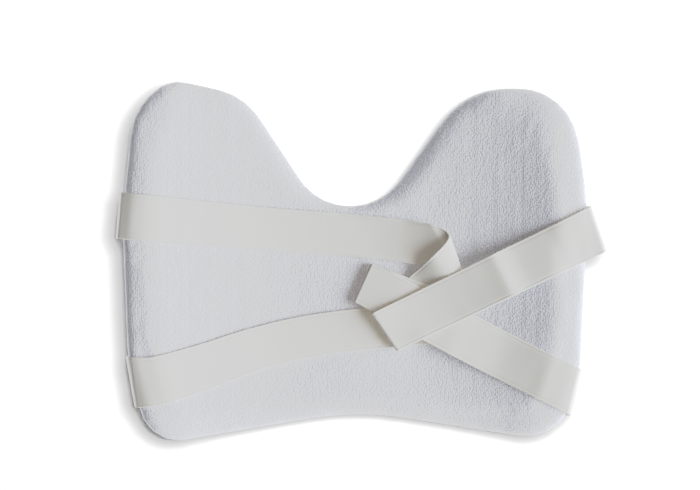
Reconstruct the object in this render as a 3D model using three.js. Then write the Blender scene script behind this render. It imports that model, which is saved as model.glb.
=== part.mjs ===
// Cricket chest guard lying on its front, towelling back up, with its two elastic straps folded on top.
// Millimetres, +Z up, +Y towards the neck. The origin is the middle of the flat stretch that it lies on.
import * as THREE from "three";

// Driving dimensions of the padded body
const PAD_HALF_WIDTH = 161;
const PAD_THICKNESS = 22;
const SIDE_RISE = 26; // how far the side edges stand up, because the guard curves round a chest
const FLAT_HALF_WIDTH = 30; // half of the middle stretch that lies flat
const TAPER_POWER = 1.6; // how roundly the back tapers down to the rim
const FRONT_BEVEL = { width: 14, drop: 6, power: 2 };
const PAD_HEART = { x: -3, y: -28 }; // the point that all rings of the pad's surface close in on

// Driving dimensions of the elastic
const BAND_WIDTH = 30;
const BAND_THICKNESS = 1.4;
const LYING = 1.2; // height of the band's middle over the cloth that it lies on

// How finely the surfaces are faceted
const OUTLINE_POINTS = 112;
const BACK_INSETS = [0, 2.5, 6, 11, 17, 23, 29];
const FRONT_INSETS = [0, 3, 8, 15];
const BACK_SHARES = [0.12, 0.25, 0.38, 0.52, 0.68, 0.84];
const FRONT_SHARES = [0.3, 0.6, 0.85];
const SMOOTHING_REACH = 5; // neighbours that share their inward direction
const BAND_COLUMNS = 5;
const BAND_STEP = 6;
const FOLD_STEPS = 8;
const SKEW_FADE = 32; // length over which a skewed fold's rows turn square to the band
const LIFT_ROUNDING = 0.05; // share of a leg over which a change of its lift is rounded off

// The outline's corners, counter-clockwise from the neck, each rounded to its radius. The back tapers down to
// the rim by drop over width: far down on the right side, less on the left and hardly at the neck.
const OUTLINE_CORNERS = [
  { corner: "neck", x: -5, y: 3.4, radius: 44, width: 5, drop: 1.5 },
  { corner: "left lobe inner", x: -79.6, y: 114.7, radius: 45, width: 6, drop: 2 },
  { corner: "left lobe tip", x: -131.2, y: 125.4, radius: 20, width: 12, drop: 4 },
  { corner: "left shoulder", x: -155.2, y: 105.6, radius: 42, width: 22, drop: 6 },
  { corner: "left side", x: -162.6, y: 28, radius: 300, width: 25, drop: 6.5 },
  { corner: "left waist", x: -158.6, y: -66, radius: 60, width: 25, drop: 6.5 },
  { corner: "left hem", x: -144.5, y: -129.8, radius: 26, width: 18, drop: 6 },
  { corner: "hem arch", x: 2, y: -105.6, radius: 200, width: 12, drop: 4 },
  { corner: "right hem", x: 145.5, y: -127.6, radius: 33, width: 24, drop: 8 },
  { corner: "right waist", x: 157, y: -76, radius: 80, width: 22, drop: 9 },
  { corner: "right side", x: 162.8, y: 36, radius: 200, width: 22, drop: 9.5 },
  { corner: "right shoulder", x: 157, y: 80, radius: 100, width: 22, drop: 9.5 },
  { corner: "right lobe outer", x: 147, y: 119, radius: 40, width: 22, drop: 9 },
  { corner: "right lobe inner", x: 79, y: 119.4, radius: 56, width: 6, drop: 2 },
];

// Each strap starts at a sewn end on the pad's front and runs in straight or gently curved legs over one face
// of the pad. A leg ends where the centrelines of two legs cross, and there the band folds over: reach is how
// far the fold stands out at the band's left and right selvedge. A leg's lifts are the height of the band's
// middle over the face at shares of the leg's length, and tilt is how much higher the left selvedge is there.
// A leg's spread is how many times as wide as BAND_WIDTH the slack elastic lies.
const UPPER_STRAP = {
  start: { x: -130, y: 28.2 },
  legs: [
    {
      leg: "sewn end under the left edge",
      face: "front",
      to: { x: -167.6, y: 31.3 },
      reach: { left: 2.4, right: 2.4 },
      spread: [{ at: 0, times: 1.04 }, { at: 1, times: 1.1 }],
      lifts: [
        { at: 0, mm: LYING },
        { at: 0.4, mm: LYING },
        { at: 0.62, mm: 1.8 },
        { at: 1, mm: 0.9 },
      ],
    },
    {
      leg: "across the back to the soft loop",
      face: "back",
      via: [{ x: -70, y: 22.6 }, { x: 31, y: 13.6 }],
      to: { x: 75.7, y: 2 },
      reach: { left: 3, right: 11 },
      spread: [{ at: 0, times: 1.1 }, { at: 0.38, times: 1 }, { at: 1, times: 1 }],
      lifts: [
        { at: 0, mm: 1.6 },
        { at: 0.12, mm: LYING },
        { at: 0.5, mm: 1.5 },
        { at: 0.78, mm: LYING },
        { at: 0.9, mm: 2.1, tilt: 0.6 },
        { at: 1, mm: 4.2, tilt: -0.8 },
      ],
    },
    {
      leg: "back under the lower strap",
      face: "back",
      via: [{ x: 41, y: -30.6 }],
      to: { x: 18.8, y: -52 },
      reach: { left: 3.6, right: 3.6 },
      spread: [{ at: 0, times: 1 }, { at: 1, times: 1.07 }],
      lifts: [
        { at: 0, mm: 13, tilt: -4.6 },
        { at: 0.12, mm: 6.4, tilt: -2 },
        { at: 0.27, mm: 3.4 },
        { at: 1, mm: 3.4 },
      ],
    },
    {
      leg: "over the top to the right edge",
      face: "back",
      to: { x: 172.3, y: 22.2 },
      reach: { left: 2.4, right: 2.4 },
      spread: [{ at: 0, times: 1.07 }, { at: 1, times: 1.12 }],
      lifts: [
        { at: 0, mm: 9.6, tilt: -1.6 },
        { at: 0.12, mm: 10.2 },
        { at: 0.56, mm: 10.6 },
        { at: 0.69, mm: 3.7 },
        { at: 0.82, mm: 1.7 },
        { at: 1, mm: 3.8 },
      ],
    },
    {
      leg: "sewn end under the right edge",
      face: "front",
      to: { x: 131, y: 13.7 },
      spread: [{ at: 0, times: 1.12 }, { at: 1, times: 1.04 }],
      lifts: [
        { at: 0, mm: -0.4 },
        { at: 0.14, mm: 3.3 },
        { at: 0.5, mm: 2.4 },
        { at: 0.8, mm: LYING },
        { at: 1, mm: LYING },
      ],
    },
  ],
};

const LOWER_STRAP = {
  start: { x: -124, y: -73 },
  legs: [
    {
      leg: "sewn end under the left edge",
      face: "front",
      to: { x: -159.5, y: -86.2 },
      reach: { left: 3.4, right: 3.4 },
      spread: [{ at: 0, times: 1.06 }, { at: 1, times: 1.19 }],
      lifts: [{ at: 0, mm: LYING }, { at: 1, mm: 1.8 }],
    },
    {
      leg: "across the back to the hidden fold",
      face: "back",
      via: [
        { x: -140, y: -85.2 },
        { x: -107, y: -75.7 },
        { x: -70.4, y: -62.9 },
        { x: -34.5, y: -54.4 },
        { x: 3.5, y: -49.2 },
      ],
      to: { x: 73, y: -42.6 },
      reach: { left: 2.2, right: 2.2 },
      spread: [{ at: 0, times: 1.19 }, { at: 0.4, times: 1 }, { at: 1, times: 1 }],
      lifts: [{ at: 0, mm: 2 }, { at: 0.1, mm: LYING }, { at: 1, mm: LYING }],
    },
    {
      leg: "back under itself to the near fold",
      face: "back",
      to: { x: 5, y: -15.9 },
      reach: { left: 1.7, right: 1.7 },
      lifts: [{ at: 0, mm: 5.9 }, { at: 0.78, mm: 5.7 }, { at: 1, mm: 3.6 }],
    },
    {
      leg: "over itself to the right edge",
      face: "back",
      via: [{ x: 100, y: -65.7 }],
      to: { x: 157.2, y: -94.2 },
      reach: { left: 3.4, right: 3.4 },
      spread: [{ at: 0, times: 1 }, { at: 0.4, times: 1.1 }, { at: 1, times: 1.08 }],
      lifts: [
        { at: 0, mm: 7 },
        { at: 0.12, mm: 7.9 },
        { at: 0.45, mm: 7.6 },
        { at: 0.66, mm: LYING },
        { at: 0.85, mm: 1.6 },
        { at: 1, mm: 3.4 },
      ],
    },
    {
      leg: "sewn end under the right edge",
      face: "front",
      to: { x: 120, y: -93.2 },
      spread: [{ at: 0, times: 1.08 }, { at: 1, times: 1.04 }],
      lifts: [{ at: 0, mm: 2 }, { at: 1, mm: LYING }],
    },
  ],
};

const TOWELLING_FINISH = { color: 0xeeeef4, roughness: 0.95, metalness: 0 };
const ELASTIC_FINISH = { color: 0xe9e9e4, roughness: 0.7, metalness: 0 };

// A polygon with its corners rounded by arcs, as evenly spaced points
function roundedPolygon(corners, count) {
  const shape = new THREE.Shape();
  corners.forEach((corner, i) => {
    const at = new THREE.Vector2(corner.x, corner.y);
    const before = corners[(i + corners.length - 1) % corners.length];
    const after = corners[(i + 1) % corners.length];
    const back = new THREE.Vector2(before.x, before.y).sub(at).normalize();
    const on = new THREE.Vector2(after.x, after.y).sub(at).normalize();
    const halfAngle = Math.acos(back.dot(on)) / 2;
    const tangent = corner.radius / Math.tan(halfAngle);
    const middle = back.clone().add(on).setLength(corner.radius / Math.sin(halfAngle)).add(at);
    const from = at.clone().addScaledVector(back, tangent).sub(middle);
    const to = at.clone().addScaledVector(on, tangent).sub(middle);
    shape.absarc(middle.x, middle.y, corner.radius, from.angle(), to.angle(), from.cross(to) < 0);
  });
  shape.closePath();
  return shape.getSpacedPoints(count).slice(0, count);
}

const outline = roundedPolygon(OUTLINE_CORNERS, OUTLINE_POINTS);

// Distance from a point inside the outline to its nearest edge, and 0 for a point outside it
function edgeDistance(x, y) {
  let inside = false;
  let nearest = Infinity;
  outline.forEach((a, i) => {
    const b = outline[(i + 1) % outline.length];
    if (a.y > y !== b.y > y && x < a.x + ((y - a.y) / (b.y - a.y)) * (b.x - a.x)) inside = !inside;
    const length2 = (b.x - a.x) ** 2 + (b.y - a.y) ** 2;
    const share = ((x - a.x) * (b.x - a.x) + (y - a.y) * (b.y - a.y)) / length2;
    const along = THREE.MathUtils.clamp(share, 0, 1);
    const apart = Math.hypot(x - a.x - along * (b.x - a.x), y - a.y - along * (b.y - a.y));
    nearest = Math.min(nearest, apart);
  });
  return inside ? nearest : 0;
}

// How far the guard's curve lifts the pad off its resting plane
function curveRise(x) {
  const out = (Math.abs(x) - FLAT_HALF_WIDTH) / (PAD_HALF_WIDTH - FLAT_HALF_WIDTH);
  return SIDE_RISE * THREE.MathUtils.clamp(out, 0, 1) ** 2;
}

// The taper at a point, blended from those of the outline's corners, the nearer ones counting for more
function taperAt(x, y) {
  const taper = { width: 0, drop: 0, power: TAPER_POWER };
  const shares = OUTLINE_CORNERS.map((corner) => 1 / (1 + Math.hypot(x - corner.x, y - corner.y) ** 3));
  const total = shares.reduce((sum, share) => sum + share);
  OUTLINE_CORNERS.forEach((corner, i) => {
    taper.width += (corner.width * shares[i]) / total;
    taper.drop += (corner.drop * shares[i]) / total;
  });
  return taper;
}

const bevelDrop = ({ width, drop, power }, distance) => drop * Math.max(0, 1 - distance / width) ** power;
const backHeight = (x, y) => curveRise(x) + PAD_THICKNESS - bevelDrop(taperAt(x, y), edgeDistance(x, y));
const frontHeight = (x, y) => curveRise(x) + bevelDrop(FRONT_BEVEL, edgeDistance(x, y));

// Adds the triangles of a grid of vertex numbers, the rows closed into rings where ring is true
function stitchGrid(index, rows, ring = false) {
  for (let r = 0; r + 1 < rows.length; r++) {
    const columns = rows[r].length;
    for (let c = 0; c < (ring ? columns : columns - 1); c++) {
      const d = (c + 1) % columns;
      index.push(rows[r][c], rows[r][d], rows[r + 1][d], rows[r][c], rows[r + 1][d], rows[r + 1][c]);
    }
  }
}

function solidGeometry(points, index) {
  const geometry = new THREE.BufferGeometry().setFromPoints(points);
  geometry.setIndex(index);
  geometry.computeVertexNormals();
  return geometry;
}

// One inward direction for each outline point, shared among neighbours so that the rings never cross
function inwardDirections() {
  const count = outline.length;
  const normals = outline.map((_, i) => {
    const a = outline[(i + count - 1) % count];
    const b = outline[(i + 1) % count];
    return new THREE.Vector2(a.y - b.y, b.x - a.x).normalize();
  });
  return normals.map((_, i) => {
    const sum = new THREE.Vector2();
    for (let k = -SMOOTHING_REACH; k <= SMOOTHING_REACH; k++) {
      sum.add(normals[(i + k + count) % count]);
    }
    return sum.normalize();
  });
}

// The padded body: rings of points over its back and its front, which meet in a low rim
function padGeometry() {
  const points = [];
  const index = [];
  const inward = inwardDirections();
  const heart = new THREE.Vector2(PAD_HEART.x, PAD_HEART.y);
  const addPoint = (p, height) => points.push(new THREE.Vector3(p.x, p.y, height(p.x, p.y))) - 1;

  const face = (insets, shares, height) => {
    const bevel = insets.map((inset) => outline.map((p, i) => p.clone().addScaledVector(inward[i], inset)));
    const innermost = bevel[bevel.length - 1];
    const inner = shares.map((share) => innermost.map((p) => p.clone().lerp(heart, share)));
    const rings = [...bevel, ...inner].map((ring) => ring.map((p) => addPoint(p, height)));
    const middle = addPoint(heart, height);
    return { rings, middle };
  };
  const closeFan = (ring, middle, flip) => {
    ring.forEach((a, i) => {
      const b = ring[(i + 1) % ring.length];
      index.push(...(flip ? [b, a, middle] : [a, b, middle]));
    });
  };

  const back = face(BACK_INSETS, BACK_SHARES, backHeight);
  const front = face(FRONT_INSETS, FRONT_SHARES, frontHeight);
  stitchGrid(index, back.rings, true);
  closeFan(back.rings[back.rings.length - 1], back.middle, false);
  stitchGrid(index, [...front.rings].reverse(), true);
  closeFan(front.rings[front.rings.length - 1], front.middle, true);
  stitchGrid(index, [front.rings[0], back.rings[0]], true);
  return solidGeometry(points, index);
}

// What the rows of a leg's lifts or spread give at a share of its length, in straight lines from row to row
function betweenRows(rows, share, valueOf) {
  const next = Math.max(1, rows.findIndex((row) => row.at >= share));
  const [a, b] = rows.slice(next - 1, next + 1);
  return THREE.MathUtils.mapLinear(share, a.at, b.at, valueOf(a), valueOf(b));
}

// The height of a leg's band over its face at a share of the leg, toLeft of the band's middle (-1 to 1), with
// the corners between the rows of the lifts rounded off
function roundedLift(lifts, share, toLeft) {
  const near = Math.min(LIFT_ROUNDING, share, 1 - share);
  const heightOf = (row) => row.mm + (row.tilt ?? 0) * toLeft;
  const samples = [-1, -0.5, 0, 0.5, 1].map((shift) => betweenRows(lifts, share + shift * near, heightOf));
  return samples.reduce((sum, height) => sum + height) / samples.length;
}

function halfWidthAt(leg, share) {
  const times = leg.spread ? betweenRows(leg.spread, share, (row) => row.times) : 1;
  return (BAND_WIDTH / 2) * times;
}

const leftOf = (direction) => new THREE.Vector2(-direction.y, direction.x);

// The fold between two legs: its line points to the band's left selvedge, and out is where it stands out to.
// It takes up cut of each leg, and flare more of it at one selvedge where the fold is a cone.
function foldBetween(directionIn, directionOut, side, reach) {
  const line = directionIn.clone().add(directionOut);
  const left = leftOf(directionIn).multiplyScalar(side);
  if (line.length() < 1e-3) line.copy(left);
  line.normalize();
  if (line.dot(left) < 0) line.negate();
  const out = directionIn.clone().addScaledVector(line, -directionIn.dot(line)).normalize();
  const cutFor = (radius) => (Math.PI * radius) / 2 / directionIn.dot(out);
  const cut = cutFor((reach.left + reach.right) / 2);
  const flare = (cutFor(reach.left) - cutFor(reach.right)) / BAND_WIDTH;
  return { line, out, cut, flare, reach };
}

// How far a row at a fold runs ahead at the left selvedge, for each millimetre from the band's middle
function skewAgainst(fold, direction, side) {
  return fold.line.dot(direction) / (fold.line.dot(leftOf(direction)) * side);
}

// Rows of points across one leg of a band, from the fold behind it to the fold ahead of it
function legRows(path, leg, side, foldBehind, foldAhead) {
  const length = path.getLength();
  const begin = foldBehind ? foldBehind.cut : 0;
  const end = length - (foldAhead ? foldAhead.cut : 0);
  const steps = Math.max(2, Math.round((end - begin) / BAND_STEP));
  const tangentAt = (share) => new THREE.Vector2().copy(path.getTangentAt(share));
  const skewBehind = foldBehind ? skewAgainst(foldBehind, tangentAt(0), side) + foldBehind.flare : 0;
  const skewAhead = foldAhead ? skewAgainst(foldAhead, tangentAt(1), side) - foldAhead.flare : 0;
  const rows = [];
  for (let step = 0; step <= steps; step++) {
    const share = step / steps;
    const along = THREE.MathUtils.lerp(begin, end, share);
    const middle = path.getPointAt(along / length);
    const direction = tangentAt(along / length);
    const fade = (distance) => Math.max(0, 1 - distance / SKEW_FADE);
    const skew = skewBehind * fade(along - begin) + skewAhead * fade(end - along);
    const across = leftOf(direction).multiplyScalar(side).addScaledVector(direction, skew);
    const halfWidth = halfWidthAt(leg, share);
    rows.push(
      Array.from({ length: BAND_COLUMNS }, (_, c) => {
        const toLeft = 1 - (2 * c) / (BAND_COLUMNS - 1);
        const x = middle.x + halfWidth * toLeft * across.x;
        const y = middle.y + halfWidth * toLeft * across.y;
        const height = roundedLift(leg.lifts, share, toLeft);
        const z = leg.face === "back" ? backHeight(x, y) + height : frontHeight(x, y) - height;
        return new THREE.Vector3(x, y, z);
      }),
    );
  }
  return rows;
}

// Rows of points round a fold, from the last row of one leg to the first row of the next
function foldRows(lastRow, firstRow, fold) {
  const rows = [];
  for (let step = 1; step < FOLD_STEPS; step++) {
    const share = step / FOLD_STEPS;
    const angle = Math.PI * share;
    rows.push(
      lastRow.map((a, c) => {
        const b = firstRow[c];
        const reach = THREE.MathUtils.lerp(fold.reach.left, fold.reach.right, c / (BAND_COLUMNS - 1));
        const p = a.clone().lerp(b, share);
        p.x += fold.out.x * reach * Math.sin(angle);
        p.y += fold.out.y * reach * Math.sin(angle);
        p.z = THREE.MathUtils.lerp(a.z, b.z, (1 - Math.cos(angle)) / 2);
        return p;
      }),
    );
  }
  return rows;
}

// All rows across a strap, from one sewn end to the other
function strapRows(strap) {
  let from = strap.start;
  const paths = strap.legs.map((leg) => {
    const stations = [from, ...(leg.via ?? []), leg.to].map((p) => new THREE.Vector2(p.x, p.y));
    from = leg.to;
    return new THREE.SplineCurve(stations);
  });
  let side = 1;
  let foldBehind = null;
  let rows = [];
  strap.legs.forEach((leg, i) => {
    const directionIn = paths[i].getTangentAt(1);
    const directionOut = leg.reach ? paths[i + 1].getTangentAt(0) : null;
    const foldAhead = leg.reach ? foldBetween(directionIn, directionOut, side, leg.reach) : null;
    const here = legRows(paths[i], leg, side, foldBehind, foldAhead);
    if (foldBehind) rows = rows.concat(foldRows(rows[rows.length - 1], here[0], foldBehind));
    rows = rows.concat(here);
    side = -side;
    foldBehind = foldAhead;
  });
  return rows;
}

// A band of even thickness about rows of points
function bandGeometry(rows) {
  const points = [];
  const index = [];
  const normalAt = (r, c) => {
    const row = rows[r];
    const along = rows[Math.min(r + 1, rows.length - 1)][c].clone().sub(rows[Math.max(r - 1, 0)][c]);
    const across = row[Math.max(c - 1, 0)].clone().sub(row[Math.min(c + 1, BAND_COLUMNS - 1)]);
    return along.cross(across).normalize();
  };
  const addPoint = (r, c, offset) => {
    points.push(rows[r][c].clone().addScaledVector(normalAt(r, c), offset));
    return points.length - 1;
  };
  const layer = (offset) => rows.map((row, r) => row.map((_, c) => addPoint(r, c, offset)));
  const upper = layer(BAND_THICKNESS / 2);
  const lower = layer(-BAND_THICKNESS / 2);
  const rim = (grid) => [
    ...grid.map((row) => row[0]),
    ...grid[grid.length - 1].slice(1, -1),
    ...grid.map((row) => row[row.length - 1]).reverse(),
    ...grid[0].slice(1, -1).reverse(),
  ];
  stitchGrid(index, upper);
  stitchGrid(index, [...lower].reverse());
  stitchGrid(index, [rim(upper), rim(lower)], true);
  return solidGeometry(points, index);
}

function piece(name, geometry, finish) {
  const mesh = new THREE.Mesh(geometry, new THREE.MeshStandardMaterial(finish));
  mesh.name = name;
  return mesh;
}

const chestGuard = new THREE.Group();
chestGuard.add(
  piece("chest_pad", padGeometry(), TOWELLING_FINISH),
  piece("upper_strap", bandGeometry(strapRows(UPPER_STRAP)), ELASTIC_FINISH),
  piece("lower_strap", bandGeometry(strapRows(LOWER_STRAP)), ELASTIC_FINISH),
);

export default chestGuard;
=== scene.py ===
import math
from collections import namedtuple

import bpy
import numpy as np
from bpy.props import FloatProperty, FloatVectorProperty, IntProperty, PointerProperty
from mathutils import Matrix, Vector
from mathutils.bvhtree import BVHTree


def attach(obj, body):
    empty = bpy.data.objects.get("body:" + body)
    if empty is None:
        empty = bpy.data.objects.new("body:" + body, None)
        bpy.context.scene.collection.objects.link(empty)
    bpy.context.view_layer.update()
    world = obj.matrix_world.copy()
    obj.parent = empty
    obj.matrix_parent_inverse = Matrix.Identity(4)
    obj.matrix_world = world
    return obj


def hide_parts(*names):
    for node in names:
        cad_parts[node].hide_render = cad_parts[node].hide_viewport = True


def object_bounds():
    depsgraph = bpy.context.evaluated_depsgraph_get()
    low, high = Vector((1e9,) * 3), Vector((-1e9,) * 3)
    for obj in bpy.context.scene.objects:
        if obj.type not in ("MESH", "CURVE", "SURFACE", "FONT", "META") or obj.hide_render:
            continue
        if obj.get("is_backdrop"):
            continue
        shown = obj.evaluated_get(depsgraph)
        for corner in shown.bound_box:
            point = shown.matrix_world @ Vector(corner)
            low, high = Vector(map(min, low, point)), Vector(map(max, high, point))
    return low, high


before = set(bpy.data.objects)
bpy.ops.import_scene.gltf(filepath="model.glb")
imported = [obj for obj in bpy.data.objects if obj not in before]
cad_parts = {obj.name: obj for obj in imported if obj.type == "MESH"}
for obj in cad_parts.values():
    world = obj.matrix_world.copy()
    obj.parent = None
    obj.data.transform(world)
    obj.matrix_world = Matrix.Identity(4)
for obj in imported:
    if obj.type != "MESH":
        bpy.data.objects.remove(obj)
CAD_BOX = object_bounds()

bl_info = {
    "name": "Cricket Chest Guard",
    "version": (1, 0, 0),
    "blender": (4, 5, 0),
    "location": "View3D > Sidebar > Chest Guard",
    "description": "A foam chest guard in a towelling cover, with two elastic straps folded on its back",
    "category": "Object",
}

# The picture that the camera frames, in pixels, its scale at the height of the pad's side edges, and where
# the origin shows in it
IMAGE_WIDTH = 700
IMAGE_HEIGHT = 490
PIXELS_PER_METRE = 1420.0
ORIGIN_PIXEL = (355.0, 259.7)

# A strap is a sewn end on the pad's front, and then legs over one face of the pad. Its first selvedge is the
# one on the left at the sewn start, and it stays the first through all the folds. At the end of each leg but
# the last the band folds over, and reach is how far the fold stands out at the first and second selvedge.
# A fold that reaches further than SOFT_REACH or is taller than TALL_FOLD is round, and any other is pressed,
# with PRESSED_POWER squaring off its curve.
# A spread is how many times as wide as its woven width the slack band lies, at a share of the leg.
# A lift is the height of the band's middle over the face at a share of the leg, LYING where it lies flat, and
# tilt is how much higher the first selvedge is there. Rounding is the share of the leg over which a change of
# its lift is rounded off, and is small where the band has a sharp crease. All lengths are in metres.
Leg = namedtuple("Leg", "face via to reach spreads lifts rounding", defaults=(0.03,))
Spread = namedtuple("Spread", "at times")
Lift = namedtuple("Lift", "at height tilt", defaults=(0.0,))
LYING = 0.0010
SOFT_REACH = 0.005
TALL_FOLD = 0.0085
PRESSED_POWER = 0.5

UPPER_START = (-0.130, 0.0282)
UPPER_LEGS = [
    Leg("front", [], (-0.1676, 0.0313), (0.0024, 0.0024),
        [Spread(0, 1.04), Spread(1, 1.1)],
        [Lift(0, LYING), Lift(0.4, LYING), Lift(0.62, 0.0018), Lift(1, 0.0009)]),
    Leg("back", [(-0.070, 0.0226), (0.031, 0.0136)], (0.0757, 0.002), (0.003, 0.011),
        [Spread(0, 1.1), Spread(0.38, 1), Spread(1, 1)],
        [Lift(0, 0.0016), Lift(0.12, LYING), Lift(0.7, LYING), Lift(0.8, 0.0020),
         Lift(0.88, 0.0034, -0.0003), Lift(0.94, 0.0046, -0.0008), Lift(1, 0.0060, -0.0014)]),
    Leg("back", [(0.041, -0.0306)], (0.0188, -0.052), (0.0036, 0.0036),
        [Spread(0, 1), Spread(1, 1.07)],
        [Lift(0, 0.0104, -0.0046), Lift(0.05, 0.0101, -0.0046), Lift(0.1, 0.0091, -0.0042),
         Lift(0.17, 0.0072, -0.0032), Lift(0.25, 0.0051, -0.0017), Lift(0.34, 0.0038), Lift(0.45, 0.0034),
         Lift(1, 0.0034)]),
    Leg("back", [], (0.1723, 0.0222), (0.0024, 0.0024),
        [Spread(0, 1.07), Spread(1, 1.12)],
        [Lift(0, 0.0096, -0.0016), Lift(0.12, 0.0102), Lift(0.30, 0.0104), Lift(0.555, 0.0110),
         Lift(0.60, 0.0074), Lift(0.64, 0.0057), Lift(0.69, 0.0045), Lift(0.75, 0.0033), Lift(0.82, 0.0018),
         Lift(0.9, 0.0023), Lift(1, 0.0038)], 0.01),
    Leg("front", [], (0.131, 0.0137), None,
        [Spread(0, 1.12), Spread(1, 1.04)],
        [Lift(0, -0.0004), Lift(0.14, 0.0033), Lift(0.5, 0.0024), Lift(0.8, LYING), Lift(1, LYING)]),
]

LOWER_START = (-0.124, -0.073)
LOWER_LEGS = [
    Leg("front", [], (-0.1595, -0.0862), (0.0034, 0.0034),
        [Spread(0, 1.06), Spread(1, 1.19)],
        [Lift(0, LYING), Lift(1, 0.0018)]),
    Leg("back",
        [(-0.140, -0.0852), (-0.107, -0.0757), (-0.0704, -0.0629), (-0.0345, -0.0544), (0.0035, -0.0492)],
        (0.073, -0.0426), (0.0022, 0.0022),
        [Spread(0, 1.19), Spread(0.4, 1), Spread(1, 1)],
        [Lift(0, 0.0014), Lift(0.1, LYING), Lift(1, LYING)]),
    Leg("back", [], (0.005, -0.0159), (0.0017, 0.0017),
        [Spread(0, 1), Spread(1, 1)],
        [Lift(0, 0.0059), Lift(0.78, 0.0055), Lift(1, 0.0028)]),
    Leg("back", [(0.100, -0.0657)], (0.1572, -0.0942), (0.0034, 0.0034),
        [Spread(0, 1), Spread(0.4, 1.1), Spread(1, 1.08)],
        [Lift(0, 0.0059), Lift(0.14, 0.0079), Lift(0.45, 0.0076), Lift(0.66, 0.0028), Lift(0.85, 0.0013),
         Lift(0.92, 0.0020), Lift(1, 0.0042)]),
    Leg("front", [], (0.120, -0.0932), None,
        [Spread(0, 1.08), Spread(1, 1.04)],
        [Lift(0, 0.0018), Lift(1, LYING)]),
]


class PadProperties(bpy.types.PropertyGroup):
    """Sizes and colours of the padded body."""

    voxel: FloatProperty(
        name="Remesh Voxel", description="Edge of the even squares that the cover is cut into",
        default=0.0025, min=0.002, unit="LENGTH")
    rounding: IntProperty(
        name="Rounding", description="Times that heights are evened out, which rounds the rim",
        default=18, min=1)
    cover: FloatProperty(
        name="Cover Thickness", description="How far the towelling stands out from the foam",
        default=0.0016, min=0.0001, max=0.004, unit="LENGTH")
    pressure: FloatProperty(
        name="Pressure", description="Push of the foam on the cover while it settles", default=4.0, min=0.0)
    swell: FloatProperty(
        name="Swell Limit", description="How far the foam may push any point of the cover out",
        default=0.0005, min=0.0, unit="LENGTH")
    settle_frames: IntProperty(
        name="Settle Frames", description="Frames of cloth simulation that the cover settles in",
        default=20, min=1)
    fill: FloatProperty(
        name="Fill", description="How tightly the foam fills the cover",
        default=0.7, min=0.0, max=1.0, subtype="FACTOR")
    pile: FloatProperty(
        name="Pile Height", description="Height of the uneven tips of the towelling's loops",
        default=0.0007, min=0.0, unit="LENGTH")
    colour: FloatVectorProperty(
        name="Towelling", description="Colour of the loops' tips", subtype="COLOR", size=3,
        default=(0.74, 0.765, 0.86), min=0.0, max=1.0)
    # Painted shade: a darker colour deep between the loops stands in for the shade that falls in the pile.
    pit_shade_colour: FloatVectorProperty(
        name="Between the Loops", description="Colour deep between the loops", subtype="COLOR", size=3,
        default=(0.62, 0.64, 0.715), min=0.0, max=1.0)


class StrapProperties(bpy.types.PropertyGroup):
    """Sizes and colours of the elastic straps."""

    width: FloatProperty(
        name="Width", description="Width of the elastic", default=0.030, min=0.005, unit="LENGTH")
    thickness: FloatProperty(
        name="Thickness", description="Thickness of the elastic", default=0.0014, min=0.0004, unit="LENGTH")
    step: FloatProperty(
        name="Step", description="Distance between rows along the elastic",
        default=0.003, min=0.001, unit="LENGTH")
    fold_rows: IntProperty(
        name="Fold Rows", description="Rows that round each fold", default=16, min=4)
    colour: FloatVectorProperty(
        name="Elastic", description="Colour of the elastic", subtype="COLOR", size=3,
        default=(0.675, 0.675, 0.655), min=0.0, max=1.0)


class StageProperties(bpy.types.PropertyGroup):
    """The camera, the light and the floor."""

    camera_height: FloatProperty(
        name="Camera Height", description="Height of the camera over the floor", default=5.0, unit="LENGTH")
    framed_height: FloatProperty(
        name="Framed Height", description="Height over the floor at which the picture has its stated scale",
        default=0.034, unit="LENGTH")
    floor_colour: FloatVectorProperty(
        name="Floor", description="Colour of the floor", subtype="COLOR", size=3, default=(0.6, 0.6, 0.6))
    floor_glow: FloatProperty(
        name="Floor Glow", description="Light that the white sweep itself gives off", default=0.03)
    key_power: FloatProperty(
        name="Key Light", description="Power of the soft light on the right", default=200.0, unit="POWER")
    wrap_power: FloatProperty(
        name="Wrap Light", description="Power of the light that softens the key light's shadows",
        default=62.0, unit="POWER")
    floor_power: FloatProperty(
        name="Floor Light", description="Power of the wide light that whitens the floor",
        default=368.0, unit="POWER")
    fill_strength: FloatProperty(
        name="Fill Light", description="Strength of the even light from all round", default=0.23)


class ChestGuardProperties(bpy.types.PropertyGroup):
    """All settings of the chest guard."""

    pad: PointerProperty(type=PadProperties)
    strap: PointerProperty(type=StrapProperties)
    stage: PointerProperty(type=StageProperties)


def activate(piece):
    """Makes a piece the only selected one."""
    bpy.ops.object.select_all(action="DESELECT")
    piece.select_set(True)
    bpy.context.view_layer.objects.active = piece


def apply_modifiers(piece):
    """Applies every modifier of a piece, in order."""
    activate(piece)
    for name in [modifier.name for modifier in piece.modifiers]:
        bpy.ops.object.modifier_apply(modifier=name)


def vertex_places(mesh):
    """The places of a mesh's vertices as an array."""
    places = np.zeros(len(mesh.vertices) * 3, np.float32)
    mesh.vertices.foreach_get("co", places)
    return places.reshape(-1, 3).astype(float)


def place_vertices(mesh, places):
    """Moves a mesh's vertices to an array of places."""
    mesh.vertices.foreach_set("co", np.asarray(places, np.float32).ravel())
    mesh.update()


def surface_of(piece):
    """A tree of a piece's finished surface, for finding heights on it."""
    return BVHTree.FromObject(piece, bpy.context.evaluated_depsgraph_get())


def finish_piece(piece, node, material):
    """Gives a finished piece its material and sets it on the frame in place of a CAD node."""
    piece.data.materials.clear()
    piece.data.materials.append(material)
    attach(piece, "root")
    if node:
        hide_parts(node)


# Materials


def new_material(name):
    """A node material with its Principled shader."""
    material = bpy.data.materials.new(name)
    material.use_nodes = True
    return material, material.node_tree, material.node_tree.nodes["Principled BSDF"]


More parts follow.
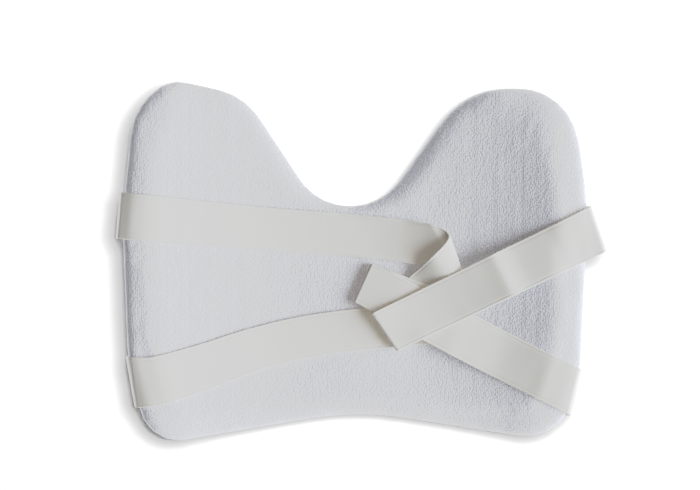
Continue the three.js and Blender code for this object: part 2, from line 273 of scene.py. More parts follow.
def add_node(tree, kind, settings=(), **inputs):
    """Adds a node with settings and socket values; a socket given as a value's socket is linked."""
    node = tree.nodes.new(kind)
    for name, value in dict(settings).items():
        setattr(node, name, value)
    for name, value in inputs.items():
        socket = node.inputs[int(name[1:])] if name[1:].isdigit() else node.inputs[name.replace("_", " ")]
        if isinstance(value, bpy.types.NodeSocket):
            tree.links.new(value, socket)
        else:
            socket.default_value = value
    return node


FIBRE_SCALE = 900.0
BROAD_SHARE = 0.04
DARKEST_FIBRE = 0.93
LIGHTEST_FIBRE = 1.05


def fibre_group():
    """Shared effect: the uneven fuzz of cotton and polyester fibres, as a height and a shade."""
    group = bpy.data.node_groups.get("Fibre Fuzz")
    if group:
        return group
    group = bpy.data.node_groups.new("Fibre Fuzz", "ShaderNodeTree")
    group.interface.new_socket("Vector", in_out="INPUT", socket_type="NodeSocketVector")
    fineness = group.interface.new_socket("Scale", in_out="INPUT", socket_type="NodeSocketFloat")
    fineness.default_value = FIBRE_SCALE
    group.interface.new_socket("Height", in_out="OUTPUT", socket_type="NodeSocketFloat")
    group.interface.new_socket("Shade", in_out="OUTPUT", socket_type="NodeSocketFloat")
    inside = group.nodes.new("NodeGroupInput")
    outside = group.nodes.new("NodeGroupOutput")
    place, scale = inside.outputs["Vector"], inside.outputs["Scale"]
    fine = add_node(group, "ShaderNodeTexNoise", Vector=place, Scale=scale, Detail=3.0, Roughness=0.6)
    broad_scale = add_node(group, "ShaderNodeMath", {"operation": "MULTIPLY"}, _0=scale, _1=BROAD_SHARE)
    broad = add_node(group, "ShaderNodeTexNoise", Vector=place, Scale=broad_scale.outputs[0], Detail=2.0)
    shade = add_node(group, "ShaderNodeMapRange", {}, Value=broad.outputs["Fac"],
                     To_Min=DARKEST_FIBRE, To_Max=LIGHTEST_FIBRE)
    group.links.new(fine.outputs["Fac"], outside.inputs["Height"])
    group.links.new(shade.outputs["Result"], outside.inputs["Shade"])
    return group


def add_fibre(tree, vector, scale):
    """Places the shared fibre group in a material."""
    node = tree.nodes.new("ShaderNodeGroup")
    node.node_tree = fibre_group()
    tree.links.new(vector, node.inputs["Vector"])
    node.inputs["Scale"].default_value = scale
    return node


LOOP_SIZE = 0.0015
LOOP_BUMP = 0.0007
LOOP_BUMP_STRENGTH = 0.36
# How closely the loops wander from their rows, and how far, as a share of a loop
WANDER_SCALE = 260.0
WANDER_SHARE = 0.9
PILE_FIBRE_SCALE = 1900.0
PILE_FIBRE_SHARE = 0.35


def towelling_material(colour, pit_shade_colour):
    """White terry towelling: close rows of small loops, with painted shade between them."""
    material, tree, shader = new_material("white_towelling")
    place = add_node(tree, "ShaderNodeTexCoord").outputs["Object"]
    wander = add_node(tree, "ShaderNodeTexNoise", Vector=place, Scale=WANDER_SCALE, Detail=2.0)
    drift = add_node(tree, "ShaderNodeVectorMath", {"operation": "SUBTRACT"}, _0=wander.outputs["Color"],
                     _1=(0.5, 0.5, 0.5))
    short = add_node(tree, "ShaderNodeVectorMath", {"operation": "SCALE"}, _0=drift.outputs["Vector"],
                     Scale=LOOP_SIZE * WANDER_SHARE)
    moved = add_node(tree, "ShaderNodeVectorMath", {"operation": "ADD"}, _0=place,
                     _1=short.outputs["Vector"])
    loops = add_node(tree, "ShaderNodeTexVoronoi", {"feature": "SMOOTH_F1"}, Vector=moved.outputs["Vector"],
                     Scale=1.0 / LOOP_SIZE, Smoothness=0.35, Randomness=0.65)
    tips = add_node(tree, "ShaderNodeMapRange", {}, Value=loops.outputs["Distance"],
                    From_Min=0.1, From_Max=0.75, To_Min=1.0, To_Max=0.0)
    fibre = add_fibre(tree, place, PILE_FIBRE_SCALE)
    fuzz = add_node(tree, "ShaderNodeMath", {"operation": "MULTIPLY"}, _0=fibre.outputs["Height"],
                    _1=PILE_FIBRE_SHARE)
    height = add_node(tree, "ShaderNodeMath", {"operation": "ADD"}, _0=tips.outputs["Result"],
                      _1=fuzz.outputs[0])
    bump = add_node(tree, "ShaderNodeBump", {}, Height=height.outputs[0], Strength=LOOP_BUMP_STRENGTH,
                    Distance=LOOP_BUMP)
    # Painted shade: the base colour darkens from the loops' tips to the pit shade colour between them.
    tone = add_node(tree, "ShaderNodeMix", {"data_type": "RGBA"}, _0=tips.outputs["Result"],
                    _6=(*pit_shade_colour, 1.0), _7=(*colour, 1.0))
    shaded = add_node(tree, "ShaderNodeMix", {"data_type": "RGBA", "blend_type": "MULTIPLY"}, _0=1.0,
                      _6=tone.outputs[2], _7=fibre.outputs["Shade"])
    tree.links.new(shaded.outputs[2], shader.inputs["Base Color"])
    tree.links.new(bump.outputs["Normal"], shader.inputs["Normal"])
    shader.inputs["Roughness"].default_value = 0.95
    shader.inputs["Specular IOR Level"].default_value = 0.15
    shader.inputs["Sheen Weight"].default_value = 0.25
    shader.inputs["Sheen Roughness"].default_value = 0.6
    return material


RIB_PITCH = 0.0008
RIB_BUMP = 0.00012
RIB_BUMP_STRENGTH = 0.06
WEFT_PITCH = 0.0009
WEFT_SHARE = 0.5
ELASTIC_FIBRE_SCALE = 1500.0


def elastic_material(name, colour, width, length):
    """Warm white woven elastic: lengthwise ribs crossed by the fine lines of its weft."""
    material, tree, shader = new_material(name)
    flat = add_node(tree, "ShaderNodeTexCoord").outputs["UV"]
    sized = add_node(tree, "ShaderNodeVectorMath", {"operation": "MULTIPLY"}, _0=flat,
                     _1=(length, width, 1.0))
    axes = add_node(tree, "ShaderNodeSeparateXYZ", Vector=sized.outputs["Vector"])

    def ridges(value, pitch):
        turns = add_node(tree, "ShaderNodeMath", {"operation": "MULTIPLY"}, _0=value, _1=2 * math.pi / pitch)
        return add_node(tree, "ShaderNodeMath", {"operation": "SINE"}, _0=turns.outputs[0]).outputs[0]

    ribs = ridges(axes.outputs["Y"], RIB_PITCH)
    wefts = ridges(axes.outputs["X"], WEFT_PITCH)
    low_wefts = add_node(tree, "ShaderNodeMath", {"operation": "MULTIPLY"}, _0=wefts, _1=WEFT_SHARE)
    woven = add_node(tree, "ShaderNodeMath", {"operation": "ADD"}, _0=ribs, _1=low_wefts.outputs[0])
    fibre = add_fibre(tree, sized.outputs["Vector"], ELASTIC_FIBRE_SCALE)
    height = add_node(tree, "ShaderNodeMath", {"operation": "ADD"}, _0=woven.outputs[0],
                      _1=fibre.outputs["Height"])
    bump = add_node(tree, "ShaderNodeBump", {}, Height=height.outputs[0], Strength=RIB_BUMP_STRENGTH,
                    Distance=RIB_BUMP)
    # Painted shade: the base colour is about one per cent darker in the grooves between the ribs and weft
    # lines, and lighter on their crests.
    groove_shade = add_node(tree, "ShaderNodeMapRange", {}, Value=woven.outputs[0], From_Min=-1.5, From_Max=1.5,
                      To_Min=0.99, To_Max=1.01)
    tone = add_node(tree, "ShaderNodeMath", {"operation": "MULTIPLY"}, _0=groove_shade.outputs["Result"],
                    _1=fibre.outputs["Shade"])
    shaded = add_node(tree, "ShaderNodeMix", {"data_type": "RGBA", "blend_type": "MULTIPLY"}, _0=1.0,
                      _6=(*colour, 1.0), _7=tone.outputs[0])
    tree.links.new(shaded.outputs[2], shader.inputs["Base Color"])
    tree.links.new(bump.outputs["Normal"], shader.inputs["Normal"])
    shader.inputs["Roughness"].default_value = 0.62
    shader.inputs["Specular IOR Level"].default_value = 0.35
    shader.inputs["Sheen Weight"].default_value = 0.12
    return material


THREAD_COLOUR = (0.62, 0.62, 0.6, 1.0)
THREAD_BUMP = 0.0002
THREAD_BUMP_STRENGTH = 0.4
THREAD_FIBRE_SCALE = 2600.0


def thread_material():
    """White sewing thread with a fine fuzz."""
    material, tree, shader = new_material("white_thread")
    place = add_node(tree, "ShaderNodeTexCoord").outputs["Object"]
    fibre = add_fibre(tree, place, THREAD_FIBRE_SCALE)
    shaded = add_node(tree, "ShaderNodeMix", {"data_type": "RGBA", "blend_type": "MULTIPLY"}, _0=1.0,
                      _6=THREAD_COLOUR, _7=fibre.outputs["Shade"])
    bump = add_node(tree, "ShaderNodeBump", {}, Height=fibre.outputs["Height"],
                    Strength=THREAD_BUMP_STRENGTH, Distance=THREAD_BUMP)
    tree.links.new(shaded.outputs[2], shader.inputs["Base Color"])
    tree.links.new(bump.outputs["Normal"], shader.inputs["Normal"])
    shader.inputs["Roughness"].default_value = 0.55
    return material


# The padded body

CLOTH_QUALITY = 4
CLOTH_MASS = 0.3
# Times that the squares of the cut cover are evened out before it is drawn onto the foam, and eased after
EVEN_TIMES = 8
EASE_TIMES = 2
SMOOTH_FACTOR = 0.5
SEAM_GAP = 1e-5


def settle_cover(pad, settings):
    """Lets the foam push the cover out a little, as cloth, each point by no more than the swell limit."""
    start = vertex_places(pad.data)
    cloth = pad.modifiers.new("Cover", "CLOTH")
    cloth.settings.quality = CLOTH_QUALITY
    cloth.settings.mass = CLOTH_MASS
    cloth.settings.use_pressure = True
    cloth.settings.uniform_pressure_force = settings.pressure
    cloth.settings.effector_weights.gravity = 0.0
    for number in range(1, settings.settle_frames + 1):
        bpy.context.scene.frame_set(number)
    settled = pad.evaluated_get(bpy.context.evaluated_depsgraph_get())
    moves = vertex_places(settled.data) - start
    pad.modifiers.remove(cloth)
    bpy.context.scene.frame_set(1)
    lengths = np.linalg.norm(moves, axis=1, keepdims=True)
    moves *= np.minimum(1.0, settings.swell / np.maximum(lengths, 1e-9))
    place_vertices(pad.data, start + moves)


class CHESTGUARD_OT_pad(bpy.types.Operator):
    """Make the foam body in its towelling cover"""

    bl_idname = "chest_guard.pad"
    bl_label = "Padded Body"

    def execute(self, context):
        settings = context.scene.chest_guard.pad
        pad = bpy.data.objects.new("towelling_pad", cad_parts["chest_pad"].data.copy())
        context.scene.collection.objects.link(pad)
        activate(pad)
        bpy.ops.object.mode_set(mode="EDIT")
        bpy.ops.mesh.select_all(action="SELECT")
        bpy.ops.mesh.remove_doubles(threshold=SEAM_GAP)
        bpy.ops.object.mode_set(mode="OBJECT")
        pad.data.remesh_voxel_size = settings.voxel
        bpy.ops.object.voxel_remesh()
        evened = pad.modifiers.new("Evened", "SMOOTH")
        evened.factor = SMOOTH_FACTOR
        evened.iterations = EVEN_TIMES
        wrapped = pad.modifiers.new("Wrapped", "SHRINKWRAP")
        wrapped.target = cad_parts["chest_pad"]
        eased = pad.modifiers.new("Eased", "SMOOTH")
        eased.factor = SMOOTH_FACTOR
        eased.iterations = EASE_TIMES
        rounded = pad.modifiers.new("Rounded", "SMOOTH")
        rounded.use_x = rounded.use_y = False
        rounded.factor = SMOOTH_FACTOR
        rounded.iterations = settings.rounding
        covered = pad.modifiers.new("Covered", "DISPLACE")
        covered.mid_level = 0.0
        covered.strength = settings.cover
        apply_modifiers(pad)
        settle_cover(pad, settings)
        places = vertex_places(pad.data)
        places[:, 2] = np.maximum(places[:, 2], 0.0)
        place_vertices(pad.data, places)
        finer = pad.modifiers.new("Finer", "SUBSURF")
        finer.levels = finer.render_levels = 1
        apply_modifiers(pad)
        bpy.ops.object.shade_smooth()
        material = towelling_material(settings.colour, settings.pit_shade_colour)
        finish_piece(pad, "chest_pad", material)
        return {"FINISHED"}


# The straps

# Length of band over which its rows turn from the slant of a fold to straight across
SKEW_FADE = 0.032
PATH_SAMPLES = 60
# Height of the pad's side rims, and how far inside a rim its face is read for a band that runs out over it
RIM_HEIGHT = 0.034
RIM_INSET = 0.001
# Rows before and after a row between which the band is drawn straight
TAUT_ROWS = 3
# Places of the columns across half a band, from its middle out, as distances in from the selvedge, those of
# the groove beside the selvedge, and the share of the band's thickness that is left there
SELVEDGE_COLUMNS = [0.0105, 0.006, 0.0032, 0.0023, 0.0019, 0.0014, 0.0007, 0.0]
GROOVE_COLUMNS = (0.0019,)
GROOVE_THICKNESS = 0.7


class BandPath:
    """A smooth line on the ground plan through a leg's stations."""

    def __init__(self, stations):
        stations = np.array(stations)
        ends = np.vstack([stations[:1], stations, stations[-1:]])
        t = np.linspace(0, 1, PATH_SAMPLES, endpoint=False)[:, None]
        spans = []
        for p0, p1, p2, p3 in zip(ends, ends[1:], ends[2:], ends[3:]):
            m1, m2 = (p2 - p0) / 2, (p3 - p1) / 2
            spans.append((2 * t**3 - 3 * t**2 + 1) * p1 + (t**3 - 2 * t**2 + t) * m1
                         + (3 * t**2 - 2 * t**3) * p2 + (t**3 - t**2) * m2)
        self.points = np.vstack([*spans, stations[-1:]])
        self.along = np.concatenate([[0.0], np.cumsum(np.linalg.norm(np.diff(self.points, axis=0), axis=1))])
        self.length = self.along[-1]
        self.slopes = np.gradient(self.points, axis=0)

    def at(self, distance):
        """The point and the direction at a distance along the line."""
        point = np.array([np.interp(distance, self.along, self.points[:, k]) for k in (0, 1)])
        slope = np.array([np.interp(distance, self.along, self.slopes[:, k]) for k in (0, 1)])
        return point, slope / np.linalg.norm(slope)


def left_of(direction):
    """The direction a quarter turn to the left."""
    return np.array([-direction[1], direction[0]])


# Two directions whose sum is shorter than this are straight back on each other
STRAIGHT_BACK = 1e-3


class BandFold:
    """A fold between two legs: its line points to the first selvedge, and out is where it stands out to."""

    def __init__(self, direction_in, direction_out, side, reach, width):
        first = left_of(direction_in) * side
        line = direction_in + direction_out
        line = first if np.linalg.norm(line) < STRAIGHT_BACK else line / np.linalg.norm(line)
        self.line = line if line @ first > 0 else -line
        out = direction_in - self.line * (direction_in @ self.line)
        self.out = out / np.linalg.norm(out)
        self.reach = reach
        per_reach = math.pi / 2 / (direction_in @ self.out)
        self.cut = per_reach * sum(reach) / 2
        self.flare = per_reach * (reach[0] - reach[1]) / width

    def skew(self, direction, side):
        """How far a row at the fold runs ahead at the first selvedge, for each metre from the middle."""
        return (self.line @ direction) / ((self.line @ left_of(direction)) * side)


ROUNDING_SAMPLES = 7


def lift_at(leg, share, to_first):
    """The height of a leg's band over its face, with the corners between the given lifts rounded off."""
    near = min(leg.rounding, share, 1 - share)
    shares = share + near * np.linspace(-1, 1, ROUNDING_SAMPLES)
    heights = [lift.height + lift.tilt * to_first for lift in leg.lifts]
    return np.interp(shares, [lift.at for lift in leg.lifts], heights).mean()


class PadFaces:
    """Heights of the padded body's back and front over a point of the ground plan."""

    def __init__(self, pad):
        self.tree = surface_of(pad)

    def height(self, face, x, y):
        """The height of a face, or outside the pad that of the place just inside the nearest rim."""
        up = 1.0 if face == "back" else -1.0
        hit = self.tree.ray_cast(Vector((x, y, up)), Vector((0, 0, -up)))[0]
        if hit is None:
            outside = Vector((x, y, RIM_HEIGHT))
            rim = self.tree.find_nearest(outside)[0]
            inward = Vector((rim.x - x, rim.y - y, 0.0)).normalized()
            inside = rim + inward * RIM_INSET
            hit = self.tree.ray_cast(Vector((inside.x, inside.y, up)), Vector((0, 0, -up)))[0]
        return hit.z


def column_shares(width):
    """Places of the columns across a band, from 1 at the first selvedge to -1 at the second."""
    half = [1 - 2 * inset / width for inset in SELVEDGE_COLUMNS]
    return np.array([*reversed(half), 0.0, *[-share for share in half]])


def drawn_taut(heights, columns):
    """Heights of a band that is drawn straight along over a short dip, and straight across over any dip."""
    taut = heights.copy()
    for before in range(1, TAUT_ROWS + 1):
        for after in range(1, TAUT_ROWS + 1):
            span = before + after
            chords = (heights[:-span] * after + heights[span:] * before) / span
            middle = taut[before:len(taut) - after]
            np.maximum(middle, chords, out=middle)
    along = taut.copy()
    for one in range(len(columns)):
        for other in range(one + 2, len(columns)):
            inner = slice(one + 1, other)
            share = (columns[one] - columns[inner]) / (columns[one] - columns[other])
            chords = along[:, one:one + 1] * (1 - share) + along[:, other:other + 1] * share
            taut[:, inner] = np.maximum(taut[:, inner], chords)
    return taut


def leg_rows(path, leg, side, behind, ahead, faces, settings):
    """Rows of points across one leg of a band, from the fold behind it to the fold ahead of it."""
    begin = behind.cut if behind else 0.0
    end = path.length - (ahead.cut if ahead else 0.0)
    steps = max(2 * TAUT_ROWS, round((end - begin) / settings.step))
    skew_behind = behind.skew(path.at(0.0)[1], side) + behind.flare if behind else 0.0
    skew_ahead = ahead.skew(path.at(path.length)[1], side) - ahead.flare if ahead else 0.0
    columns = column_shares(settings.width)
    spread_shares = [spread.at for spread in leg.spreads]
    spread_times = [spread.times for spread in leg.spreads]
    rows, lifts = [], []
    for share in np.linspace(0, 1, steps + 1):
        along = begin + (end - begin) * share
        middle, direction = path.at(along)
        skew = skew_behind * max(0.0, 1 - (along - begin) / SKEW_FADE)
        skew += skew_ahead * max(0.0, 1 - (end - along) / SKEW_FADE)
        across = left_of(direction) * side + direction * skew
        times = np.interp(share, spread_shares, spread_times)
        spots = middle + across * (columns * times * settings.width / 2)[:, None]
        rows.append([(x, y, faces.height(leg.face, x, y)) for x, y in spots])
        lifts.append([lift_at(leg, share, to_first) for to_first in columns])
    rows = np.array(rows)
    up = 1.0 if leg.face == "back" else -1.0
    rows[:, :, 2] = up * (drawn_taut(up * rows[:, :, 2], columns) + np.array(lifts))
    return rows


def fold_rows(last, first, fold, settings):
    """Rows of points round a fold, from the last row of one leg to the first row of the next."""
    reach = np.interp(-column_shares(settings.width), (-1, 1), fold.reach)[:, None]
    out = np.array([*fold.out, 0.0])
    tall = np.abs(first[:, 2] - last[:, 2]).max() > TALL_FOLD
    power = 1.0 if tall or max(fold.reach) > SOFT_REACH else PRESSED_POWER
    rows = []
    for share in np.arange(1, settings.fold_rows) / settings.fold_rows:
        angle = math.pi * share
        fall = (1 - math.copysign(abs(math.cos(angle)) ** power, math.cos(angle))) / 2
        row = last + (first - last) * share + out * reach * math.sin(angle) ** power
        row[:, 2] = last[:, 2] + (first[:, 2] - last[:, 2]) * fall
        rows.append(row)
    return np.array(rows)


def strap_rows(start, legs, faces, settings):
    """All rows across a strap, from one sewn end to the other."""
    starts = [start, *[leg.to for leg in legs]]
    paths = [BandPath([begin, *leg.via, leg.to]) for begin, leg in zip(starts, legs)]
    side, behind, rows = 1, None, []
    for number, leg in enumerate(legs):
        path, ahead = paths[number], None
        if leg.reach:
            direction_in = path.at(path.length)[1]
            direction_out = paths[number + 1].at(0.0)[1]
            ahead = BandFold(direction_in, direction_out, side, leg.reach, settings.width)
        here = leg_rows(path, leg, side, behind, ahead, faces, settings)
        if behind:
            rows.append(fold_rows(rows[-1][-1], here[0], behind, settings))
        rows.append(here)
        side, behind = -side, ahead
    return np.concatenate(rows)


def band_length(rows):
    """Length of a band along its middle."""
    middle = rows[:, rows.shape[1] // 2]
    return float(np.linalg.norm(np.diff(middle, axis=0), axis=1).sum())


def make_strap(name, node, rows, settings):
    """A woven band with beaded selvedges, laid over rows of points."""
    row_count, column_count = rows.shape[:2]
    bpy.ops.object.select_all(action="DESELECT")
    bpy.ops.mesh.primitive_grid_add(
        x_subdivisions=row_count - 1, y_subdivisions=column_count - 1, size=1.0, calc_uvs=True)
    strap = bpy.context.object
    strap.name = strap.data.name = name
    grid = vertex_places(strap.data)
    row = np.rint((grid[:, 0] + 0.5) * (row_count - 1)).astype(int)
    column = np.rint((0.5 - grid[:, 1]) * (column_count - 1)).astype(int)
    place_vertices(strap.data, rows[row, column])
    shares = np.abs(column_shares(settings.width))
    grooves = {round(1 - 2 * inset / settings.width, 6) for inset in GROOVE_COLUMNS}
    full = strap.vertex_groups.new(name="full thickness")
    shallow = [k for k in range(column_count) if round(shares[k], 6) in grooves]
    full.add([int(v) for v in np.flatnonzero(~np.isin(column, shallow))], 1.0, "REPLACE")
    wall = strap.modifiers.new("Wall", "SOLIDIFY")
    wall.thickness = settings.thickness
    wall.offset = 0.0
    wall.vertex_group = full.name
    wall.thickness_vertex_group = GROOVE_THICKNESS
    finer = strap.modifiers.new("Finer", "SUBSURF")
    finer.levels = finer.render_levels = 1
    apply_modifiers(strap)
    bpy.ops.object.shade_smooth()
    length = band_length(rows)
    material = elastic_material(name + "_elastic", settings.colour, settings.width, length)
    finish_piece(strap, node, material)
    return strap


class CHESTGUARD_OT_straps(bpy.types.Operator):
    """Make the two elastic straps and lay them on the padded body"""

    bl_idname = "chest_guard.straps"
    bl_label = "Elastic Straps"

    def execute(self, context):
        settings = context.scene.chest_guard.strap
        faces = PadFaces(bpy.data.objects["towelling_pad"])
        upper = strap_rows(UPPER_START, UPPER_LEGS, faces, settings)
        lower = strap_rows(LOWER_START, LOWER_LEGS, faces, settings)
        make_strap("upper_elastic", "upper_strap", upper, settings)
        make_strap("lower_elastic", "lower_strap", lower, settings)
        return {"FINISHED"}


# The stitching

STITCH_LENGTH = 0.0026
STITCH_PITCH = 0.0034
STITCH_WIDTH = 0.0007
STITCH_SEGMENTS = 6
STITCH_RINGS = 4
# How far the box of stitches lies inside the band's edges, and its length along the band
SEWN_INSET = 0.004
SEWN_LENGTH = 0.018


class CHESTGUARD_OT_stitches(bpy.types.Operator):
    """Sew the straps' ends to the pad's front, each with a box of stitches"""

    bl_idname = "chest_guard.stitches"
    bl_label = "Stitching"

    def execute(self, context):
        width = context.scene.chest_guard.strap.width
        ends = [
            ("upper_elastic", UPPER_START, UPPER_LEGS[0].to),
            ("lower_elastic", LOWER_START, LOWER_LEGS[0].to),
            ("upper_elastic", UPPER_LEGS[-1].to, UPPER_LEGS[-2].to),
            ("lower_elastic", LOWER_LEGS[-1].to, LOWER_LEGS[-2].to),
        ]
        stitches = [stitch for end in ends for stitch in self.box(*end, width)]
        bpy.ops.object.select_all(action="DESELECT")
        bpy.ops.mesh.primitive_uv_sphere_add(**self.placing(*stitches[0]))
        thread = context.object
        thread.name = thread.data.name = "end_stitches"
        bpy.ops.object.mode_set(mode="EDIT")
        for stitch in stitches[1:]:
            bpy.ops.mesh.primitive_uv_sphere_add(**self.placing(*stitch))
        bpy.ops.object.mode_set(mode="OBJECT")
        bpy.ops.object.transform_apply(location=True, rotation=True, scale=True)
        bpy.ops.object.shade_smooth()
        finish_piece(thread, None, thread_material())
        return {"FINISHED"}

    def placing(self, start, end):
        """Shape, place, turn and size of one stitch."""
        along = end - start
        return {
            "segments": STITCH_SEGMENTS,
            "ring_count": STITCH_RINGS,
            "radius": 0.5,
            "location": (start + end) / 2,
            "rotation": along.to_track_quat("X", "Z").to_euler(),
            "scale": (along.length, STITCH_WIDTH, STITCH_WIDTH),
        }

    def box(self, strap, end, towards, width):
        """The start and end of each stitch of the box that is sewn at a strap's end."""
        tree = surface_of(bpy.data.objects[strap])
        end = np.array(end)
        along = (np.array(towards) - end) / np.linalg.norm(np.array(towards) - end)
        across = left_of(along) * (width / 2 - SEWN_INSET)
        near, far = end + along * SEWN_INSET, end + along * (SEWN_INSET + SEWN_LENGTH)
        corners = [near - across, far - across, far + across, near + across]
        for corner, following in zip(corners, [*corners[1:], corners[0]]):
            side = following - corner
            count = round(np.linalg.norm(side) / STITCH_PITCH)
            half = side / np.linalg.norm(side) * STITCH_LENGTH / 2
            for number in range(count):
                middle = corner + side * (number + 0.5) / count
                yield self.under(tree, middle - half), self.under(tree, middle + half)

    def under(self, tree, point):
        """The place on a strap's underside at a point of the ground plan."""
        return tree.ray_cast(Vector((*point, -1.0)), Vector((0, 0, 1.0)))[0]


# The towelling's pile

# Name, size of the bumps and share of the pile's height
PILE_LAYERS = [("Uneven", 0.018, 0.4), ("Loops", 0.0022, 0.3)]
# Share of the pile that stays up where it is pressed, and how near a strap presses it
PRESSED_PILE = 0.15
PRESSING_REACH = 0.004


class CHESTGUARD_OT_pile(bpy.types.Operator):
    """Raise the towelling's pile, pressed flat where the straps lie on it"""

    bl_idname = "chest_guard.pile"
    bl_label = "Towelling Pile"

    def execute(self, context):
        height = context.scene.chest_guard.pad.pile
        pad = bpy.data.objects["towelling_pad"]
        straps = [surface_of(bpy.data.objects[name]) for name in ("upper_elastic", "lower_elastic")]
        standing = pad.vertex_groups.new(name="standing pile")
        for vertex in pad.data.vertices:
            pressed = any(tree.find_nearest(vertex.co, PRESSING_REACH)[0] for tree in straps)
            resting = vertex.co.z < height
            standing.add([vertex.index], PRESSED_PILE if pressed or resting else 1.0, "REPLACE")
        for name, size, share in PILE_LAYERS:
            texture = bpy.data.textures.new(name, "CLOUDS")
            texture.noise_scale = size
            texture.noise_depth = 1
            layer = pad.modifiers.new(name, "DISPLACE")
            layer.texture = texture
            layer.texture_coords = "LOCAL"
            layer.mid_level = 0.5
            layer.strength = height * share
            layer.vertex_group = standing.name
        apply_modifiers(pad)
        return {"FINISHED"}


# The stage

FLOOR_SIZE = 8.0
FLOOR_HEIGHT = -0.0004
KEY_PLACE = (2.66, -0.55, 1.26)
KEY_SIZE = 2.8
FLOOR_LIGHT_PLACE = (0.42, 0.36, 2.9)
FLOOR_LIGHT_SIZE = 1.1
WHITE = (1.0, 1.0, 1.0)
KEY_COLOUR = (0.88, 0.94, 1.0)
WRAP_COLOUR = (1.0, 0.86, 0.7)
FILL_COLOUR = (1.0, 0.94, 0.86, 1.0)
# Light from the scene, and how bright the picture shows it
TONE_SHOULDER = [
    (0.3, 0.3), (0.45, 0.45), (0.55, 0.53), (0.65, 0.585), (0.75, 0.623), (0.85, 0.641), (1.0, 0.658),
    (1.2, 0.69), (1.45, 0.74), (1.75, 0.8), (2.1, 0.9),
]
TONE_WHITE = 2.4


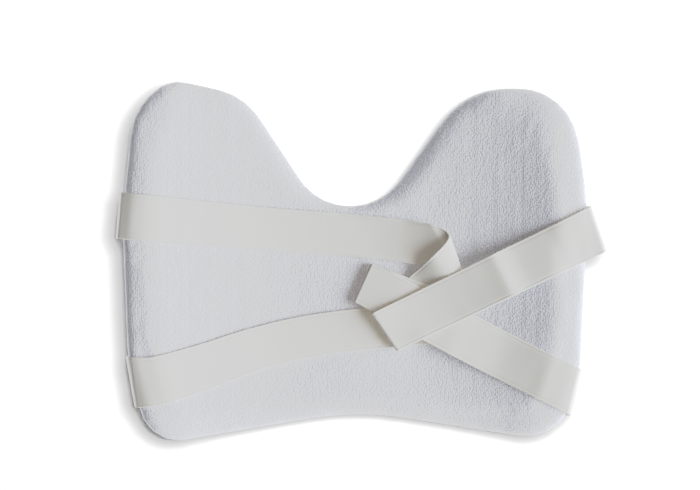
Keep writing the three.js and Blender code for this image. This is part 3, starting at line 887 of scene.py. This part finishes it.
class CHESTGUARD_OT_stage(bpy.types.Operator):
    """Set up the white floor, the soft light and the camera over the guard"""

    bl_idname = "chest_guard.stage"
    bl_label = "Stage"

    def execute(self, context):
        settings = context.scene.chest_guard.stage
        floor = self.floor(settings)
        self.light(context, settings, floor)
        self.tone(context)
        self.camera(context, settings)
        return {"FINISHED"}

    def floor(self, settings):
        """A wide white sweep that the guard lies on."""
        bpy.ops.object.select_all(action="DESELECT")
        bpy.ops.mesh.primitive_plane_add(size=FLOOR_SIZE, location=(0, 0, FLOOR_HEIGHT))
        floor = bpy.context.object
        floor.name = "floor"
        bpy.ops.object.transform_apply(location=True, rotation=True, scale=True)
        material, _, shader = new_material("white_floor")
        shader.inputs["Base Color"].default_value = (*settings.floor_colour, 1.0)
        shader.inputs["Roughness"].default_value = 0.9
        shader.inputs["Specular IOR Level"].default_value = 0.1
        shader.inputs["Emission Color"].default_value = (*WHITE, 1.0)
        shader.inputs["Emission Strength"].default_value = settings.floor_glow
        floor.data.materials.append(material)
        floor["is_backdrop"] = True
        return floor

    def area_light(self, name, place, size, power, colour, floor, on_floor):
        """A round soft light aimed at the guard, which lights the floor alone or all but the floor."""
        bpy.ops.object.light_add(type="AREA", location=place)
        light = bpy.context.object
        light.name = name
        light.data.shape = "DISK"
        light.data.size = size
        light.data.energy = power
        light.data.color = colour
        light.rotation_euler = Vector(place).to_track_quat("Z", "Y").to_euler()
        receivers = bpy.data.collections.new(name + "_receivers")
        receivers.objects.link(floor)
        receivers.collection_objects[0].light_linking.link_state = "INCLUDE" if on_floor else "EXCLUDE"
        light.light_linking.receiver_collection = receivers
        return light

    def light(self, context, settings, floor):
        """A key light on the right with a warm wrap, a light for the floor, and even light all round."""
        self.area_light(
            "key_light", KEY_PLACE, KEY_SIZE, settings.key_power, KEY_COLOUR, floor, False)
        wrap = self.area_light(
            "wrap_light", KEY_PLACE, KEY_SIZE, settings.wrap_power, WRAP_COLOUR, floor, False)
        wrap.data.use_shadow = False
        self.area_light(
            "floor_light", FLOOR_LIGHT_PLACE, FLOOR_LIGHT_SIZE, settings.floor_power, WHITE, floor, True)
        world = bpy.data.worlds.new("soft_room")
        world.use_nodes = True
        background = world.node_tree.nodes["Background"]
        background.inputs["Color"].default_value = FILL_COLOUR
        background.inputs["Strength"].default_value = settings.fill_strength
        context.scene.world = world

    def tone(self, context):
        """A soft shoulder in the picture's tones, where white cloth closes up before the floor is white."""
        view = context.scene.view_settings
        view.view_transform = "Standard"
        view.use_curve_mapping = True
        view.curve_mapping.white_level = (TONE_WHITE, TONE_WHITE, TONE_WHITE)
        points = view.curve_mapping.curves[3].points
        for light, shown in TONE_SHOULDER:
            points.new(light / TONE_WHITE, shown)
        for point in points:
            point.handle_type = "AUTO_CLAMPED"
        view.curve_mapping.update()

    def camera(self, context, settings):
        """A camera straight over the guard, framed as the picture is."""
        middle_x = (IMAGE_WIDTH / 2 - ORIGIN_PIXEL[0]) / PIXELS_PER_METRE
        middle_y = (ORIGIN_PIXEL[1] - IMAGE_HEIGHT / 2) / PIXELS_PER_METRE
        bpy.ops.object.camera_add(location=(middle_x, middle_y, settings.camera_height), rotation=(0, 0, 0))
        camera = bpy.context.object
        camera.name = "camera"
        framed_width = IMAGE_WIDTH / PIXELS_PER_METRE
        distance = settings.camera_height - settings.framed_height
        camera.data.sensor_fit = "HORIZONTAL"
        camera.data.lens = camera.data.sensor_width * distance / framed_width
        camera.data.clip_start = 0.01
        context.scene.camera = camera


class CHESTGUARD_PT_sidebar(bpy.types.Panel):
    """Lists the guard's pieces and settings in the sidebar"""

    bl_idname = "CHESTGUARD_PT_sidebar"
    bl_label = "Chest Guard"
    bl_space_type = "VIEW_3D"
    bl_region_type = "UI"
    bl_category = "Chest Guard"

    def draw(self, context):
        for operator in OPERATORS:
            self.layout.operator(operator.bl_idname)
        settings = context.scene.chest_guard
        for group in (settings.pad, settings.strap, settings.stage):
            box = self.layout.box()
            for name in group.__annotations__:
                box.prop(group, name)


OPERATORS = (
    CHESTGUARD_OT_pad,
    CHESTGUARD_OT_straps,
    CHESTGUARD_OT_stitches,
    CHESTGUARD_OT_pile,
    CHESTGUARD_OT_stage,
)
CLASSES = (
    PadProperties,
    StrapProperties,
    StageProperties,
    ChestGuardProperties,
    *OPERATORS,
    CHESTGUARD_PT_sidebar,
)


def register():
    for cls in CLASSES:
        bpy.utils.register_class(cls)
    bpy.types.Scene.chest_guard = PointerProperty(type=ChestGuardProperties)


def unregister():
    del bpy.types.Scene.chest_guard
    for cls in reversed(CLASSES):
        bpy.utils.unregister_class(cls)


def main():
    register()
    bpy.ops.chest_guard.pad()
    bpy.ops.chest_guard.straps()
    bpy.ops.chest_guard.stitches()
    bpy.ops.chest_guard.pile()
    bpy.ops.chest_guard.stage()
    boxes = {"cad": CAD_BOX, "visual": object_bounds()}
    {name: [list(corner) for corner in box] for name, box in boxes.items()}


if __name__ == "__main__":
    main()
